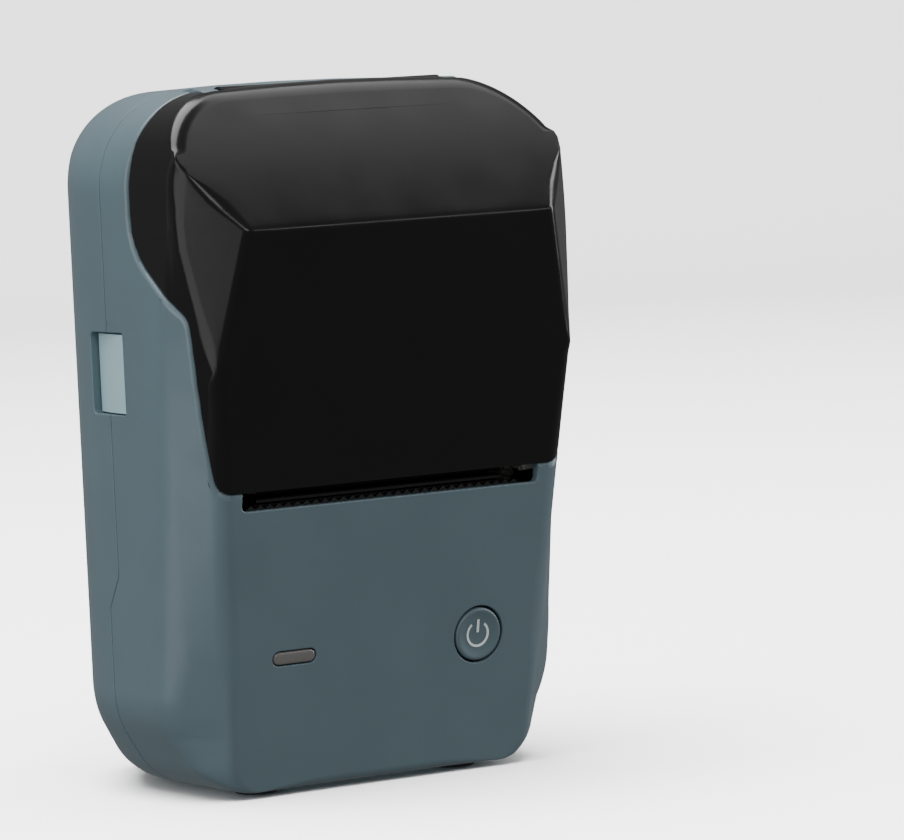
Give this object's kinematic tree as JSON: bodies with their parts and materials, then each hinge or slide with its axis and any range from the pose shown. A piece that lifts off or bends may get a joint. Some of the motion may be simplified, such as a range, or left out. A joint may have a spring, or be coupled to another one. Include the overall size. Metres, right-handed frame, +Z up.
{
  "type": "thermal label printer",
  "caption": "Desktop thermal label printer with a two-shell case, a hinged dark front cover over the label bay, side release buttons and a front power button.",
  "frame": {"origin": "middle of the footprint, on the surface that the feet stand on", "axes": "+Z up, -Y the printed front with the cover and buttons, +X the right-hand side seen from the front"},
  "size_m": [0.086, 0.0769, 0.131],
  "materials": {
    "case_plastic": "fine satin texture, slate blue",
    "cover_plastic": "smooth satin black",
    "release_plastic": "satin pale blue",
    "frame_plastic": "matte black",
    "gear_plastic": "natural acetal",
    "foot_rubber": "matte",
    "steel": "bright",
    "alloy": "satin",
    "head_ceramic": "glazed",
    "circuit_board": "solder mask",
    "battery_wrap": "shrink wrap",
    "smoke_lens": "smoked"
  },
  "bodies": {
    "root": {"battery_pack": "battery_wrap", "case_screw_1": "steel", "case_screw_2": "steel", "case_screw_3": "steel", "case_screw_4": "steel", "chassis": "frame_plastic", "front_shell": "case_plastic", "gap_sensor_board": "circuit_board", "gear_plate": "alloy", "head_bracket": "alloy", "idler_axle": "steel", "led_lens": "smoke_lens", "left_hinge_pin": "steel", "main_pcb": "circuit_board", "motor_body": "alloy", "radio_module": "alloy", "rear_shell": "case_plastic", "right_hinge_pin": "steel", "rubber_foot_1": "foot_rubber", "rubber_foot_2": "foot_rubber", "rubber_foot_3": "foot_rubber", "rubber_foot_4": "foot_rubber", "status_led": "head_ceramic", "tact_switch": "frame_plastic", "tear_bar": "steel", "usb_board": "circuit_board", "usb_port": "alloy"},
    "lid": {"lid_cover": "cover_plastic", "lid_frame": "frame_plastic", "left_bushing": "gear_plastic", "right_bushing": "gear_plastic"},
    "platen": {"platen_shaft": "steel", "platen_rubber": "foot_rubber", "platen_gear": "gear_plastic"},
    "idler": {"idler_gear": "gear_plastic"},
    "rotor": {"motor_shaft": "steel", "motor_pinion": "gear_plastic"},
    "head": {"head_heatsink": "alloy", "print_head": "head_ceramic", "left_head_spring": "steel", "right_head_spring": "steel"},
    "left_release": {"left_release_button": "release_plastic", "left_latch_hook": "frame_plastic", "left_latch_spring": "steel"},
    "right_release": {"right_release_button": "release_plastic", "right_latch_hook": "frame_plastic", "right_latch_spring": "steel"},
    "power": {"power_button": "case_plastic"},
    "left_guide": {"left_roll_guide": "gear_plastic"},
    "right_guide": {"right_roll_guide": "gear_plastic"},
    "guide_gear": {"guide_pinion": "gear_plastic"}
  },
  "joints": [
    {"name": "lid_hinge", "type": "hinge", "parent": "root", "child": "lid", "pos_m": [0, -0.0148, 0.1283], "axis": [-1, 0, 0], "range_deg": [0, 92]},
    {"name": "platen_spin", "type": "hinge", "parent": "lid", "child": "platen", "pos_m": [0, -0.0235, 0.0606], "axis": [1, 0, 0], "continuous": true},
    {"name": "idler_spin", "type": "hinge", "parent": "root", "child": "idler", "pos_m": [0.0343, -0.01193, 0.05897], "axis": [1, 0, 0], "continuous": true},
    {"name": "motor_spin", "type": "hinge", "parent": "root", "child": "rotor", "pos_m": [0.0343, -0.00684, 0.05016], "axis": [1, 0, 0], "continuous": true},
    {"name": "head_float", "type": "slide", "parent": "root", "child": "head", "axis": [0, 0, -1], "range_m": [0, 0.0004], "stiffness_N_per_m": 2000, "springref_m": -0.001},
    {"name": "left_release_press", "type": "slide", "parent": "root", "child": "left_release", "axis": [1, 0, 0], "range_m": [0, 0.0012], "stiffness_N_per_m": 600, "springref_m": -0.0015},
    {"name": "right_release_press", "type": "slide", "parent": "root", "child": "right_release", "axis": [-1, 0, 0], "range_m": [0, 0.0012], "stiffness_N_per_m": 600, "springref_m": -0.0015},
    {"name": "power_press", "type": "slide", "parent": "root", "child": "power", "axis": [0, 0.9873, 0.159], "range_m": [0, 0.0006], "stiffness_N_per_m": 600, "springref_m": -0.001},
    {"name": "left_guide_slide", "type": "slide", "parent": "root", "child": "left_guide", "axis": [1, 0, 0], "range_m": [0, 0.015]},
    {"name": "right_guide_slide", "type": "slide", "parent": "root", "child": "right_guide", "axis": [-1, 0, 0], "range_m": [0, 0.015]},
    {"name": "guide_gear_spin", "type": "hinge", "parent": "root", "child": "guide_gear", "pos_m": [0, 0.0035, 0.0629], "axis": [0, 0, 1], "range_deg": [-5, 215]}
  ],
  "couplings": [
    {"joint": "idler_spin", "follows": "platen_spin", "ratio": -0.64286},
    {"joint": "motor_spin", "follows": "platen_spin", "ratio": 1.5},
    {"joint": "right_guide_slide", "follows": "left_guide_slide", "ratio": 1},
    {"joint": "guide_gear_spin", "follows": "left_guide_slide", "rad_per_m": 238.1}
  ]
}
